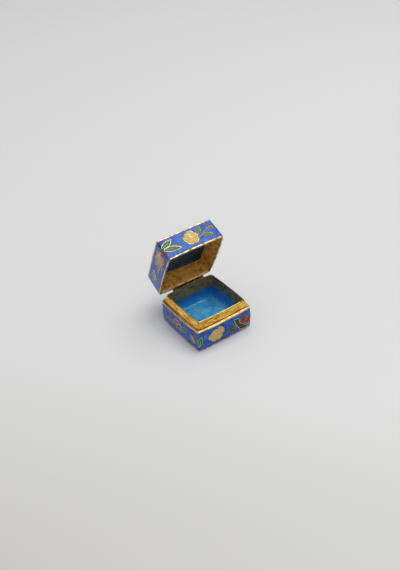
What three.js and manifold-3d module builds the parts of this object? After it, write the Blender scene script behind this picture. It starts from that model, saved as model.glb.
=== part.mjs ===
// Small square cloisonné enamel box with a hinged lid, standing open.
// Millimetres, +Z up. The hinge is at the back (+Y) and runs along X. The origin is the centre of the underside.
// Copper shells carry fused enamel between gilt lips. Each piece is lofted through rounded-square plan outlines.

import * as THREE from 'three';
import { mergeVertices } from 'three/addons/utils/BufferGeometryUtils.js';
import Module from 'manifold-3d';

const wasm = await Module();
wasm.setup();

// ---------------------------------------------------------------- driving dimensions

const WIDTH = 32; // outside, across the two rims; the plan is square
const HALF = WIDTH / 2;
const BASE_HEIGHT = 12.0; // underside to the ledge that the lid's rim closes on
const LID_HEIGHT = 11.8; // rim to the top of the lid
const RIM_GAP = 0.1; // closed lid's rim to the ledge
const SIDE_BOW = 0.21; // each outer side swells this much at its middle, except the back
const RIM_CORNER = 3.3; // plan corner radius at both rims
const FOOT_TAPER = 0.5; // each side draws in this much at the underside
const FOOT_CORNER = 1.35;
const CROWN_TAPER = 0.92; // each side draws in this much at the lid's top
const CROWN_CORNER = 0.9;

const LIP = 0.8; // height of each gilt lip
const LIP_EASE = 0.18; // worn rounding of a lip's edge
const ENAMEL_DEPTH = 0.45; // of the enamel on the outer sides
const COPPER = 0.9; // thickness of the base's floor and the lid's top
const PLATE_ENAMEL = 0.5; // depth of the enamel let into the underside and the lid's top
const PLATE_BORDER = 0.8; // gilt border around those two
const SEAT_GAP = 0.02; // clearance between an enamel or collar face and the metal behind it

const COLLAR_TOP = 15.8;
const COLLAR_FOOT = 9.2;
const COLLAR_OUTER = 14.62;
const COLLAR_WALL = 1.28;
const COLLAR_CORNER = 1.3; // inside the opening
const COLLAR_GROOVE = { depth: 0.2, start: 0.05, low: 0.15, high: 0.35, end: 0.5 }; // heights above the ledge
const COLLAR_SLOPE = [ // outer face up to the rolled edge: distance in from the face, and drop below the top
  { inset: 0.06, drop: 2.2 },
  { inset: 0.3, drop: 0.8 },
  { inset: 0.52, drop: 0.3 },
  { inset: 0.82, drop: 0.05 },
  { inset: 1.05, drop: 0 },
];
const COLLAR_MOUTH = [ // inner edge: distance back from the opening, and drop below the top
  { back: 0.06, drop: 0.12 },
  { back: 0, drop: 0.35 },
];
const CAVITY_HALF = 14.4; // copper wall inside, below the collar
const CAVITY_DRAFT = 0.5; // narrowing of the cavity towards its floor
const FLOOR_ENAMEL = 1.35; // thickness of the enamel on the base's floor
const FLOOR_FILLET = 2.3; // between the cavity's enamel walls and floor
const NUB = { width: 2.2, height: 1.1, proud: 0.13, seat: 0.08, x: -1.2, z: 14.2 }; // snap on the collar's front

const LID_BORE = 14.78; // inside half width of the lid at its rim
const LID_BORE_DEPTH = 4.4; // straight part that passes over the collar
const LID_CEILING_HALF = 14.05;
const CEILING_ENAMEL = 0.8;
const CEILING_FILLET = 2.0; // the enamel runs down the walls this far, to a feather edge

const HINGE_Y = HALF + 1.9;
const HINGE_Z = BASE_HEIGHT + RIM_GAP / 2;
const HINGE_START = -6.6; // the barrel sits a little to the right of the middle
const HINGE_END = 11.5;
const KNUCKLES = 5;
const KNUCKLE_GAP = 0.12;
const KNUCKLE_RADIUS = 0.95;
const KNUCKLE_BORE = 0.5;
const PIN_RADIUS = 0.38;
const PIN_OVERHANG = 0.2;
const LEAF_THICKNESS = 0.4;
const LEAF_REACH = 0.95; // height of each leaf on the lip that it is soldered to
const LEAF_RELIEF = 0.12; // each leaf stays this far on its own side of the axis
const LID_OPEN_DEG = 65;

const CORNER_STEPS = 6;
const SIDE_STEPS = 4;
const FILLET_STEPS = 5;
const TUBE_STEPS = 20;
const NUB_STEPS = { around: 14, up: 8 };
const WELD = 1e-5; // points nearer than this are one

// ---------------------------------------------------------------- materials

const gilt = (color) => new THREE.MeshStandardMaterial({ color, roughness: 0.34, metalness: 1 });
const glaze = (color) => new THREE.MeshStandardMaterial({ color, roughness: 0.14, metalness: 0 });

// ---------------------------------------------------------------- shared geometry

/** Plan outline, counter-clockwise from above: four corner arcs and four sides, three of them swelling by bow. */
function planOutline({ half, radius, bow = 0 }) {
  const centre = half - radius;
  const points = [];
  for (let quarter = 0; quarter < 4; quarter += 1) {
    const turn = (quarter * Math.PI) / 2;
    const arc = new THREE.EllipseCurve(centre, centre, radius, radius, 0, Math.PI / 2);
    const swell = quarter === 0 ? 0 : bow;
    const side = new THREE.QuadraticBezierCurve(
      new THREE.Vector2(centre, half),
      new THREE.Vector2(0, half + 2 * swell),
      new THREE.Vector2(-centre, half),
    );
    const corner = arc.getPoints(CORNER_STEPS).slice(0, -1);
    const straight = side.getPoints(SIDE_STEPS).slice(0, -1);
    const origin = new THREE.Vector2();
    points.push(...[...corner, ...straight].map((point) => point.rotateAround(origin, turn)));
  }
  return points;
}

/**
 * Closed body through a list of stations { half, radius, bow, z }. The list runs up the outside and down the
 * inside. A ring joins its last station to its first, and otherwise both ends are closed flat to the axis.
 */
function loft(stations, { ring }) {
  const rows = stations.map((station) => planOutline(station).map(({ x, y }) => [x, y, station.z]));
  const count = rows[0].length;
  const positions = rows.flat(2);
  const faces = [];
  const spans = ring ? rows.length : rows.length - 1;
  for (let row = 0; row < spans; row += 1) {
    const lower = row * count;
    const upper = ((row + 1) % rows.length) * count;
    for (let i = 0; i < count; i += 1) {
      const next = (i + 1) % count;
      faces.push(lower + i, lower + next, upper + next, lower + i, upper + next, upper + i);
    }
  }
  if (!ring) {
    const last = (rows.length - 1) * count;
    const bottom = positions.length / 3;
    positions.push(0, 0, stations[0].z, 0, 0, stations.at(-1).z);
    for (let i = 0; i < count; i += 1) {
      const next = (i + 1) % count;
      faces.push(bottom, next, i, bottom + 1, last + i, last + next);
    }
  }
  const geometry = new THREE.BufferGeometry();
  geometry.setAttribute('position', new THREE.Float32BufferAttribute(positions, 3));
  geometry.setIndex(faces);
  geometry.computeVertexNormals();
  return geometry;
}

/** Quarter arc of stations from a wall to a floor or ceiling; the wall side comes first. */
function filletStations({ half, radius, z, fillet, rise }) {
  const stations = [];
  for (let step = 0; step <= FILLET_STEPS; step += 1) {
    const angle = (step / FILLET_STEPS) * (Math.PI / 2);
    const inset = fillet * (1 - Math.cos(angle));
    stations.push({
      half: half - inset,
      radius: Math.max(radius - inset / 2, radius / 2),
      z: z + rise * fillet * (1 - Math.sin(angle)),
    });
  }
  return stations;
}

function toSolid(geometry) {
  const bare = geometry.clone();
  bare.deleteAttribute('normal');
  bare.deleteAttribute('uv');
  const merged = mergeVertices(bare, WELD);
  const vertProperties = new Float32Array(merged.attributes.position.array);
  const triVerts = new Uint32Array(merged.index.array);
  return new wasm.Manifold(new wasm.Mesh({ numProp: 3, vertProperties, triVerts }));
}

function toGeometry(solid) {
  const { vertProperties, triVerts } = solid.getMesh();
  const geometry = new THREE.BufferGeometry();
  geometry.setAttribute('position', new THREE.BufferAttribute(vertProperties, 3));
  geometry.setIndex(new THREE.BufferAttribute(triVerts, 1));
  geometry.computeVertexNormals();
  return geometry;
}

function fuse(geometries) {
  return toGeometry(geometries.map(toSolid).reduce((whole, next) => whole.add(next)));
}

function piece(name, geometry, material) {
  const mesh = new THREE.Mesh(geometry, material);
  mesh.name = name;
  return mesh;
}

// ---------------------------------------------------------------- outer faces of the two halves

const { lerp } = THREE.MathUtils;

/** Station on the base's outer face at height z, drawn in by inset. */
function baseFace(z, inset = 0) {
  const rise = Math.min(z / (BASE_HEIGHT - LIP), 1);
  const radius = lerp(FOOT_CORNER, RIM_CORNER, rise);
  return {
    half: HALF - FOOT_TAPER * (1 - rise) - inset,
    radius: Math.max(radius - inset, radius / 3),
    bow: SIDE_BOW,
    z,
  };
}

/** Station on the lid's outer face, z up from its rim, drawn in by inset. */
function lidFace(z, inset = 0) {
  const rise = Math.max((z - LIP) / (LID_HEIGHT - LIP), 0);
  const radius = lerp(RIM_CORNER, CROWN_CORNER, rise);
  return {
    half: HALF - CROWN_TAPER * rise - inset,
    radius: Math.max(radius - inset, radius / 3),
    bow: SIDE_BOW,
    z,
  };
}

const at = (station, z) => ({ ...station, z });

// ---------------------------------------------------------------- base

const baseFloor = PLATE_ENAMEL + COPPER;
const seatTop = COLLAR_FOOT - SEAT_GAP;
const cavityWall = (z, inset = 0) => ({
  half: CAVITY_HALF - inset - CAVITY_DRAFT * (1 - (z - baseFloor) / (seatTop - baseFloor)),
  radius: COLLAR_CORNER + COLLAR_WALL - inset,
  z,
});

function baseBody() {
  const plate = baseFace(0, PLATE_BORDER);
  const socket = { half: COLLAR_OUTER + SEAT_GAP, radius: COLLAR_CORNER + COLLAR_WALL + SEAT_GAP };
  return loft([
    at(plate, PLATE_ENAMEL),
    plate,
    baseFace(0, LIP_EASE),
    baseFace(LIP_EASE),
    baseFace(LIP),
    baseFace(LIP, ENAMEL_DEPTH),
    baseFace(BASE_HEIGHT - LIP, ENAMEL_DEPTH),
    baseFace(BASE_HEIGHT - LIP),
    baseFace(BASE_HEIGHT - LIP_EASE),
    baseFace(BASE_HEIGHT, LIP_EASE),
    at(socket, BASE_HEIGHT),
    at(socket, seatTop),
    cavityWall(seatTop),
    cavityWall(baseFloor),
  ], { ring: false });
}

function baseSideEnamel() {
  const low = LIP + SEAT_GAP;
  const high = BASE_HEIGHT - LIP - SEAT_GAP;
  const back = ENAMEL_DEPTH - SEAT_GAP;
  return loft([baseFace(low), baseFace(high), baseFace(high, back), baseFace(low, back)], { ring: true });
}

function baseInnerEnamel() {
  const bottom = baseFloor + SEAT_GAP;
  const top = seatTop - SEAT_GAP;
  const floor = baseFloor + FLOOR_ENAMEL;
  const skin = CAVITY_HALF - (COLLAR_OUTER - COLLAR_WALL);
  const springing = cavityWall(floor + FLOOR_FILLET, skin);
  return loft([
    cavityWall(bottom, SEAT_GAP),
    cavityWall(top, SEAT_GAP),
    cavityWall(top, skin),
    ...filletStations({ ...springing, z: floor, fillet: FLOOR_FILLET, rise: 1 }),
  ], { ring: false });
}

function baseUndersideEnamel() {
  const edge = baseFace(0, PLATE_BORDER + SEAT_GAP);
  return loft([edge, at(edge, PLATE_ENAMEL - SEAT_GAP)], { ring: false });
}

/** Brass strip standing inside the base's rim: a groove at the ledge, a sloped outer face and a rolled top. */
function collar() {
  const opening = COLLAR_OUTER - COLLAR_WALL;
  const outside = (inset, z) => ({
    half: COLLAR_OUTER - inset,
    radius: COLLAR_CORNER + COLLAR_WALL - inset,
    z,
  });
  const inside = (back, z) => ({ half: opening + back, radius: COLLAR_CORNER + back, z });
  const { depth, start, low, high, end } = COLLAR_GROOVE;
  const body = loft([
    outside(0, COLLAR_FOOT),
    outside(0, BASE_HEIGHT + start),
    outside(depth, BASE_HEIGHT + low),
    outside(depth, BASE_HEIGHT + high),
    outside(0, BASE_HEIGHT + end),
    ...COLLAR_SLOPE.map(({ inset, drop }) => outside(inset, COLLAR_TOP - drop)),
    ...COLLAR_MOUTH.map(({ back, drop }) => inside(back, COLLAR_TOP - drop)),
    inside(0, COLLAR_FOOT),
  ], { ring: true });
  const nub = new THREE.SphereGeometry(1, NUB_STEPS.around, NUB_STEPS.up);
  nub.scale(NUB.width / 2, 2 * NUB.proud, NUB.height / 2);
  nub.translate(NUB.x, -(COLLAR_OUTER - NUB.seat - NUB.proud), NUB.z);
  return fuse([body, nub]);
}

// ---------------------------------------------------------------- lid, in its own frame: z = 0 at its rim

const crownUnderside = LID_HEIGHT - PLATE_ENAMEL - COPPER;
const lidWall = (z, inset = 0) => ({
  half: lerp(LID_BORE, LID_CEILING_HALF, (z - LID_BORE_DEPTH) / (crownUnderside - LID_BORE_DEPTH)) - inset,
  radius: lerp(RIM_CORNER - LIP, CROWN_CORNER, (z - LID_BORE_DEPTH) / (crownUnderside - LID_BORE_DEPTH)),
  z,
});

function lidBody() {
  const plate = lidFace(LID_HEIGHT, PLATE_BORDER);
  const bore = lidWall(LID_BORE_DEPTH);
  return loft([
    lidWall(crownUnderside),
    bore,
    at(bore, 0),
    lidFace(0, LIP_EASE),
    lidFace(LIP_EASE),
    lidFace(LIP),
    lidFace(LIP, ENAMEL_DEPTH),
    lidFace(LID_HEIGHT - LIP, ENAMEL_DEPTH),
    lidFace(LID_HEIGHT - LIP),
    lidFace(LID_HEIGHT - LIP_EASE),
    lidFace(LID_HEIGHT, LIP_EASE),
    plate,
    at(plate, LID_HEIGHT - PLATE_ENAMEL),
  ], { ring: false });
}

function lidSideEnamel() {
  const low = LIP + SEAT_GAP;
  const high = LID_HEIGHT - LIP - SEAT_GAP;
  const back = ENAMEL_DEPTH - SEAT_GAP;
  return loft([lidFace(low), lidFace(high), lidFace(high, back), lidFace(low, back)], { ring: true });
}

function lidTopEnamel() {
  const edge = lidFace(LID_HEIGHT, PLATE_BORDER + SEAT_GAP);
  return loft([at(edge, LID_HEIGHT - PLATE_ENAMEL + SEAT_GAP), edge], { ring: false });
}

function lidInnerEnamel() {
  const top = crownUnderside - SEAT_GAP;
  const ceiling = crownUnderside - CEILING_ENAMEL;
  const skirt = lidWall(ceiling - CEILING_FILLET, SEAT_GAP);
  const curve = filletStations({ ...skirt, z: ceiling, fillet: CEILING_FILLET, rise: -1 });
  return loft([...curve.slice(1).reverse(), skirt, lidWall(top, SEAT_GAP)], { ring: false });
}

// ---------------------------------------------------------------- hinge, in its own frame: axis through the origin

const knuckleLength = (HINGE_END - HINGE_START) / KNUCKLES;
const leafFace = HALF + SEAT_GAP - HINGE_Y;

/** Prism of a shape drawn in (y, z), running along X from start to end. */
function prismAlongX(shape, start, end) {
  const geometry = new THREE.ExtrudeGeometry(shape, {
    depth: end - start,
    bevelEnabled: false,
    curveSegments: TUBE_STEPS,
  });
  geometry.applyMatrix4(new THREE.Matrix4().makeBasis(
    new THREE.Vector3(0, 1, 0),
    new THREE.Vector3(0, 0, 1),
    new THREE.Vector3(1, 0, 0),
  ));
  return geometry.translate(start, 0, 0);
}

/** One leaf: a strip soldered to a rim, with its knuckles. Side is -1 for the base's leaf and 1 for the lid's. */
function hingeLeaf(side) {
  const near = side * LEAF_RELIEF;
  const far = side * LEAF_REACH;
  const strip = new THREE.Shape();
  strip.moveTo(leafFace, near);
  strip.lineTo(leafFace + LEAF_THICKNESS, near);
  strip.lineTo(leafFace + LEAF_THICKNESS, far);
  strip.lineTo(leafFace, far);
  const web = new THREE.Shape();
  web.moveTo(leafFace, near);
  web.lineTo(leafFace, far);
  web.lineTo(0, side * KNUCKLE_RADIUS);
  const clear = Math.asin(LEAF_RELIEF / KNUCKLE_RADIUS);
  web.absarc(0, 0, KNUCKLE_RADIUS, (side * Math.PI) / 2, Math.PI - side * clear, side > 0);
  const bore = new THREE.Path();
  bore.absarc(0, 0, KNUCKLE_BORE, 0, 2 * Math.PI, side < 0); // runs against the outline
  web.holes.push(bore);
  const bodies = [prismAlongX(strip, HINGE_START, HINGE_END)];
  for (let index = 0; index < KNUCKLES; index += 1) {
    const belongsToBase = index % 2 === 0;
    if (belongsToBase === side < 0) {
      const start = HINGE_START + index * knuckleLength + KNUCKLE_GAP / 2;
      bodies.push(prismAlongX(web, start, start + knuckleLength - KNUCKLE_GAP));
    }
  }
  return fuse(bodies);
}

function hingePin() {
  const length = HINGE_END - HINGE_START + 2 * PIN_OVERHANG;
  return new THREE.CylinderGeometry(PIN_RADIUS, PIN_RADIUS, length, TUBE_STEPS)
    .rotateZ(Math.PI / 2)
    .translate((HINGE_START + HINGE_END) / 2, 0, 0);
}

// ---------------------------------------------------------------- assembly

const box = new THREE.Group();
box.add(
  piece('base_body', baseBody(), gilt('#c2943a')),
  piece('base_side_enamel', baseSideEnamel(), glaze('#2a50a8')),
  piece('base_inner_enamel', baseInnerEnamel(), glaze('#2f86c0')),
  piece('base_underside_enamel', baseUndersideEnamel(), glaze('#2f7fb4')),
  piece('collar', collar(), gilt('#cf9c33')),
);

const hinge = new THREE.Group();
hinge.position.set(0, HINGE_Y, HINGE_Z);
hinge.add(
  piece('hinge_base_leaf', hingeLeaf(-1), gilt('#a97c34')),
  piece('hinge_pin', hingePin(), gilt('#8f6a30')),
);
box.add(hinge);

const lid = new THREE.Group();
lid.position.set(0, HINGE_Y, HINGE_Z);
lid.rotation.x = -THREE.MathUtils.degToRad(LID_OPEN_DEG);
const lidShell = new THREE.Group();
lidShell.position.set(0, -HINGE_Y, BASE_HEIGHT + RIM_GAP - HINGE_Z);
lidShell.add(
  piece('lid_body', lidBody(), gilt('#b98a3a')),
  piece('lid_side_enamel', lidSideEnamel(), glaze('#3c69b5')),
  piece('lid_top_enamel', lidTopEnamel(), glaze('#3c69b5')),
  piece('lid_inner_enamel', lidInnerEnamel(), glaze('#1f4a5e')),
);
lid.add(lidShell, piece('hinge_lid_leaf', hingeLeaf(1), gilt('#a97c34')));
box.add(lid);

export default box;
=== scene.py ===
"""Small square cloisonné enamel box with a hinged lid, standing open: copper shells with gilt lips,
fused enamel between wire cloisons, a brass collar, a glazed inside and a hinge of five knuckles.

Everything is drawn in millimetres, each half in its own frame with its mating plane level, and brought to the
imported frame's metres as the last step of each piece.
"""

import logging
import math
from dataclasses import dataclass, field
from enum import Enum
from typing import Callable, Iterable, Sequence

import bmesh
import bpy
from mathutils import Matrix, Quaternion, Vector, noise


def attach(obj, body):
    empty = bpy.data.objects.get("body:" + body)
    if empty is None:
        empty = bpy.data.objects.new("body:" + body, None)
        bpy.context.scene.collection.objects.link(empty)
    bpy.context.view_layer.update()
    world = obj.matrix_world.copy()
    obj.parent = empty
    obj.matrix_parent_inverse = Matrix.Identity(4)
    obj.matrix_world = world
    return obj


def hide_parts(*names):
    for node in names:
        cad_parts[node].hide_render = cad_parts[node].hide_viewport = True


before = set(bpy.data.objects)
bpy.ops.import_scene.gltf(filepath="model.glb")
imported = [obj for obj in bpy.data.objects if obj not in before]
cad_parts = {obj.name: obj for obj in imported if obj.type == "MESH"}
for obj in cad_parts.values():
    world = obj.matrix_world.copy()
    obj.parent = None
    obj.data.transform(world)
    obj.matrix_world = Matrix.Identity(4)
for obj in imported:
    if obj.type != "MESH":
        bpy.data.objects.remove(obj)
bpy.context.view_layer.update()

LOG = logging.getLogger("enamel_box")

Point = tuple[float, float]
Outline = list[Point]

MM = 0.001
CORNER_STEPS = 10  # faces round each corner of a shell
SIDE_STEPS = 16  # faces along each side
CORNER_ROUND_STEPS = 8  # faces up each pooled corner of the glazes
BAND_STEPS = 12  # faces up each enamel band
SMOOTH_ANGLE = math.radians(38)
TOP_SINK = 0.16  # the enamel on the lid's top lies this far below its gilt border


# ---------------------------------------------------------------- sizes


@dataclass(frozen=True)
class BoxSizes:
    """Sizes of the box in millimetres. The lid is drawn a little lower than its solid, to stay inside it."""

    half: float = 16.0
    base_height: float = 12.0
    lid_height: float = 11.7
    rim_gap: float = 0.1
    back_swell: float = 0.76  # the hinged side swells this share as much as the others
    back_flatness: float = 6.0  # and is flat along its middle, where the hinge sits
    lip: float = 0.8
    lip_ease: float = 0.18
    enamel_depth: float = 0.45
    copper: float = 0.9
    plate_enamel: float = 0.5
    plate_border: float = 0.8
    gap: float = 0.02
    collar_top: float = 15.8
    collar_foot: float = 9.2
    cavity_draft: float = 0.5
    cavity_skin: float = 1.0
    floor_enamel: float = 1.35
    floor_fillet: float = 1.6
    lid_bore_depth: float = 4.4
    ceiling_enamel: float = 0.8
    ceiling_fillet: float = 1.3
    hinge_y: float = 17.9
    hinge_z: float = 12.05
    hinge_start: float = -6.6
    hinge_end: float = 11.5
    knuckles: int = 5
    knuckle_gap: float = 0.12
    knuckle_radius: float = 0.95
    knuckle_bore: float = 0.5
    pin_radius: float = 0.38
    pin_overhang: float = 0.2
    leaf_thickness: float = 0.4
    leaf_reach: float = 0.95
    leaf_relief: float = 0.12
    open_degrees: float = 65.0


BOX = BoxSizes()


def side_swell(side: int, share: float, bow: float) -> float:
    """How far one side of a plan stands out.

    Args:
        side: 0 front, 1 right, 2 back, 3 left.
        share: place along the side, from -1 to 1.
        bow: how far the plan's sides stand out in their middle.

    Returns:
        The swell at that place.
    """
    if side % 4 == 2:
        return bow * BOX.back_swell * (1 - abs(share) ** BOX.back_flatness)
    return bow * (1 - share * share)


@dataclass(frozen=True)
class Section:
    """Plan of a shell at one height: a square with keen round corners and swelling sides."""

    half: float
    radius: float
    z: float = 0.0
    bow: float = 0.0

    def outline(self) -> list[Vector]:
        """Points of the plan, from the front's left corner round by the right side.

        Returns:
            CORNER_STEPS + SIDE_STEPS points for each of the four sides.
        """
        centre = self.half - self.radius
        points: list[Vector] = []
        for quarter in range(4):
            turn = Matrix.Rotation(quarter * math.pi / 2, 3, "Z")
            for step in range(SIDE_STEPS):
                share = 2 * step / SIDE_STEPS - 1
                reach = self.half + side_swell(quarter, share, self.bow)
                points.append(turn @ Vector((centre * share, -reach, self.z)))
            for step in range(CORNER_STEPS):
                angle = step / CORNER_STEPS * math.pi / 2
                across, reach = self.radius * math.sin(angle), self.radius * math.cos(angle)
                points.append(turn @ Vector((centre + across, -centre - reach, self.z)))
        return points

    def at(self, z: float) -> "Section":
        """The same plan at height z."""
        return Section(self.half, self.radius, z, self.bow)

    def inset(self, inset: float, z: float) -> "Section":
        """The plan drawn in by inset, at height z."""
        return Section(self.half - inset, max(self.radius - inset, self.radius / 3), z, self.bow)

    def shrunk(self, half: float, z: float) -> "Section":
        """The plan made smaller all over, at height z."""
        share = half / self.half
        return Section(half, self.radius * share, z, self.bow * share)

    def towards(self, other: "Section", rise: float, z: float) -> "Section":
        """The plan that lies a share of the way to another one, at height z."""
        def between(low: float, high: float) -> float:
            return low + (high - low) * rise

        return Section(between(self.half, other.half), between(self.radius, other.radius), z,
                       between(self.bow, other.bow))


RIM = Section(15.47, 1.2, bow=0.6)  # both rims, where the halves meet
FOOT = Section(15.4, 1.1, bow=0.31)
CROWN = Section(15.08, 0.9, bow=0.2)
COLLAR = Section(14.35, 0.95, bow=0.3)  # outside, at its foot
MOUTH = Section(13.1, 1.7, bow=0.27)
CAVITY = Section(14.1, 0.9, bow=0.27)  # copper wall inside, under the glaze
BORE = Section(14.5, 1.0, bow=0.34)  # inside of the lid at its rim
CEILING = Section(14.0, 0.8, bow=0.12)


@dataclass(frozen=True)
class Shell:
    """Outer face of one half of the box: its plan at a lower and an upper height."""

    height: float
    low: Section
    high: Section
    dome: float  # the enamel between the lips swells this much

    def section(self, z: float, inset: float = 0.0) -> Section:
        """Plan of the face at height z, drawn in by inset."""
        rise = min(max((z - self.low.z) / (self.high.z - self.low.z), 0.0), 1.0)
        return self.low.towards(self.high, rise, z).inset(inset, z)

    def swell(self, z: float) -> float:
        """How far the enamel stands out past the straight line between its two lips at height z."""
        middle = self.height / 2
        share = (z - middle) / (middle - BOX.lip)
        return self.dome * max(1 - share * share, 0.0)

    def face(self, along: float, up: float, lift: float) -> Vector:
        """Point of the enamel's face.

        Args:
            along: millimetres round the side from the middle of the front, to the right seen from outside.
            up: height.
            lift: how far the point stands off the enamel.

        Returns:
            The point, in this half's own frame.
        """
        section = self.section(up, -self.swell(up) - lift)
        quarters = along / SIDE_LENGTH
        side = round(quarters)
        centre = section.half - section.radius
        offset = (quarters - side) * (2 * centre + section.radius * math.pi / 2)
        if abs(offset) <= centre:
            spot = Vector((offset, -section.half - side_swell(side, offset / centre, section.bow), up))
        else:
            angle = (abs(offset) - centre) / section.radius
            spot = Vector((
                math.copysign(centre + section.radius * math.sin(angle), offset),
                -centre - section.radius * math.cos(angle),
                up,
            ))
        return Matrix.Rotation(side * math.pi / 2, 3, "Z") @ spot


SIDE_LENGTH = 2 * (RIM.half - RIM.radius) + RIM.radius * math.pi / 2  # one side, corner to corner
BASE_SHELL = Shell(BOX.base_height, FOOT.at(0.0), RIM.at(BOX.base_height - BOX.lip), dome=0.26)
LID_SHELL = Shell(BOX.lid_height, RIM.at(BOX.lip), CROWN.at(BOX.lid_height), dome=0.08)


# ---------------------------------------------------------------- the two halves and their pieces


class Half(Enum):
    """The two halves of the box, each named for the body that it rides on."""

    BASE = "base"
    LID = "lid"

    def to_frame(self) -> Matrix:
        """Turns this half's drawing millimetres into the frame's metres, the lid standing open."""
        metres = Matrix.Scale(MM, 4)
        if self is Half.BASE:
            return metres
        axis = Vector((0.0, BOX.hinge_y, BOX.hinge_z))
        opened = Matrix.Rotation(-math.radians(BOX.open_degrees), 4, "X")
        closed = Matrix.Translation(Vector((0.0, 0.0, BOX.base_height + BOX.rim_gap)) - axis)
        return metres @ Matrix.Translation(axis) @ opened @ closed


HAND_SEED = 2  # the noise module seeds itself from the clock unless told otherwise
HAND_DRIFT = 0.055  # hand-shaped copper wanders this far from true
HAND_PITCH = 6.5  # over about this distance
HAND_SHRINK = 1 - 0.06 / BOX.half
HAND_FIRM = 4.0  # the foot and the lid's rim stay flat up to about this height


def hand_worked(point: Vector) -> Vector:
    """Moves a drawn point as hand-hammered copper wanders, the same for all that meets there."""
    drift = noise.noise_vector(point / HAND_PITCH) * HAND_DRIFT
    drift.z *= min(max(point.z / HAND_FIRM, 0.0), 1.0)
    return Vector((point.x * HAND_SHRINK, point.y * HAND_SHRINK, point.z)) + drift


def clear_selection() -> None:
    """Leaves edit mode and deselects every object."""
    if bpy.context.object and bpy.context.object.mode != "OBJECT":
        bpy.ops.object.mode_set(mode="OBJECT")
    bpy.ops.object.select_all(action="DESELECT")


def take(shape: bpy.types.Object) -> None:
    """Makes one object the only selected and the active one."""
    clear_selection()
    shape.select_set(True)
    bpy.context.view_layer.objects.active = shape


def apply_place() -> None:
    """Writes the selected object's place, turn and scale into its mesh."""
    bpy.ops.object.transform_apply(location=True, rotation=True, scale=True)


def bent_rod(name: str, radius: float, resolution: int) -> bpy.types.Curve:
    """Starts a curve that is round in section and capped at its ends."""
    line = bpy.data.curves.new(name, "CURVE")
    line.dimensions = "3D"
    line.bevel_depth = radius
    line.bevel_resolution = resolution
    line.use_fill_caps = True
    return line


def add_run(line: bpy.types.Curve, points: Sequence[Vector], closed: bool = False) -> None:
    """Adds one run of straight stretches to a curve."""
    spline = line.splines.new("POLY")
    spline.points.add(len(points) - 1)
    spline.use_cyclic_u = closed
    for point, place in zip(spline.points, points):
        point.co = (*place, 1.0)


def rod_mesh(line: bpy.types.Curve) -> bpy.types.Object:
    """Turns a curve into a mesh object of the same name."""
    shape = bpy.data.objects.new(line.name, line)
    bpy.context.scene.collection.objects.link(shape)
    take(shape)
    bpy.ops.object.convert(target="MESH")
    return shape


def round_edges(shape: bpy.types.Object, width: float, segments: int) -> bpy.types.Modifier:
    """Gives a mesh a bevel, still to be applied."""
    bevel = shape.modifiers.new("filed", "BEVEL")
    bevel.width = width
    bevel.segments = segments
    return bevel


def joined(name: str, shapes: Sequence[bpy.types.Object]) -> bpy.types.Object:
    """Joins several meshes into one and names it."""
    clear_selection()
    for shape in shapes:
        shape.select_set(True)
    bpy.context.view_layer.objects.active = shapes[0]
    if len(shapes) > 1:
        bpy.ops.object.join()
    shapes[0].name = name
    return shapes[0]


def dress(shape: bpy.types.Object, materials: Sequence[bpy.types.Material],
          choose: Callable[[Vector], int] | None = None) -> None:
    """Gives a mesh its materials.

    Args:
        shape: the mesh.
        materials: its materials.
        choose: says which of them a face takes from its middle; the first one without it.
    """
    shape.data.materials.clear()
    for material in materials:
        shape.data.materials.append(material)
    for face in shape.data.polygons:
        face.material_index = choose(face.center) if choose else 0


def mark_rise(shape: bpy.types.Object) -> None:
    """Keeps each point's drawn height, in millimetres, for a finish that changes with it."""
    rise = shape.data.attributes.new("rise", "FLOAT", "POINT")
    for vertex, mark in zip(shape.data.vertices, rise.data):
        mark.value = vertex.co.z


def set_down(shape: bpy.types.Object, half: Half, slot: str, nodes: Iterable[str] = (),
             by_hand: bool = True) -> None:
    """Brings a drawn piece to its place in the frame and attaches it to its half.

    Args:
        shape: the mesh, in its half's drawing millimetres.
        half: the half that it belongs to.
        slot: the record's material slot for its finish; not used.
        nodes: the solids that it stands for.
        by_hand: whether it wanders as the shells do.
    """
    if by_hand:
        for vertex in shape.data.vertices:
            vertex.co = hand_worked(vertex.co)
    take(shape)
    shape.matrix_world = half.to_frame()
    apply_place()
    bpy.ops.object.shade_smooth_by_angle(angle=SMOOTH_ANGLE)
    if "place" in shape.data.attributes:
        shape.data.attributes.remove(shape.data.attributes["place"])
    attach(shape, half.value)
    if nodes:
        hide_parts(*nodes)
    LOG.info("%s: %d faces on %s", shape.name, len(shape.data.polygons), half.value)


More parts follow.
